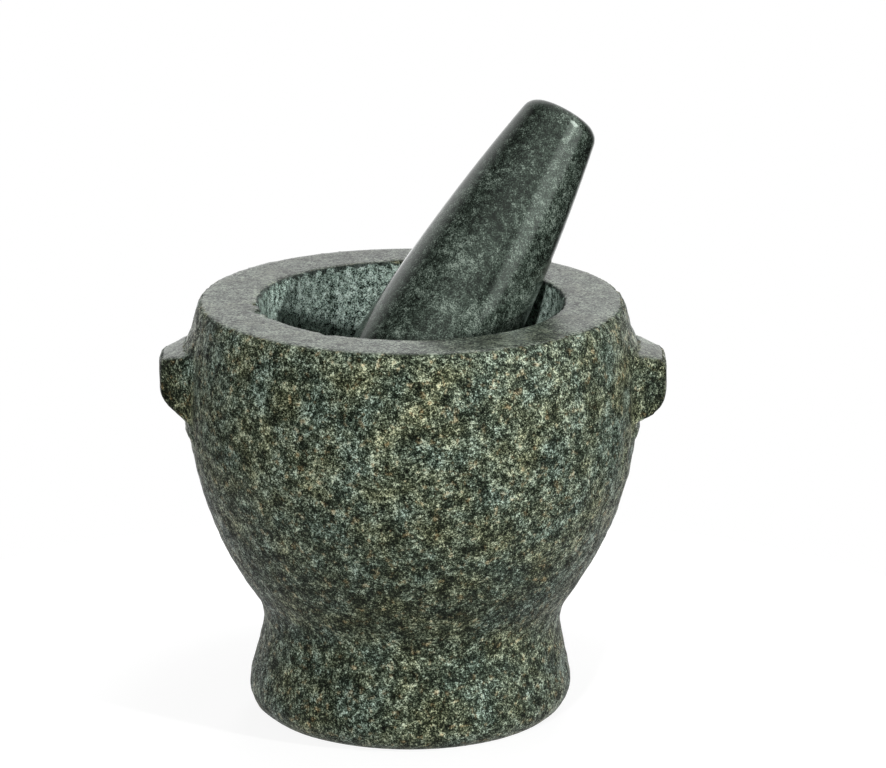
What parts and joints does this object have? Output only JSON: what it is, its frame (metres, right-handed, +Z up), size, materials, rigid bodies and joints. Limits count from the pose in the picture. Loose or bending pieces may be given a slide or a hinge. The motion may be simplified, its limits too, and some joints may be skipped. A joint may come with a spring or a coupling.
{
  "type": "granite mortar and pestle",
  "caption": "Granite mortar with a waisted foot, a rounded belly and carved side lugs, and a loose tapered pestle that leans against its rim, for crushing and grinding spices and pastes.",
  "frame": {"origin": "centre of the face that the mortar stands on", "axes": "+Z up along the mortar's axis, and X through the lugs"},
  "size_m": [0.164, 0.147, 0.1967],
  "materials": {
    "dressed_granite": "dressed dark green granite with a honed rim",
    "polished_granite": "polished dark green granite"
  },
  "bodies": {
    "mortar": {"mortar": "dressed_granite"},
    "pestle": {"pestle": "polished_granite"}
  },
  "joints": [
    {"name": "pestle_lift", "type": "slide", "parent": "mortar", "child": "pestle", "axis": [0, 0, 1], "range_m": [0, 0.1]}
  ]
}
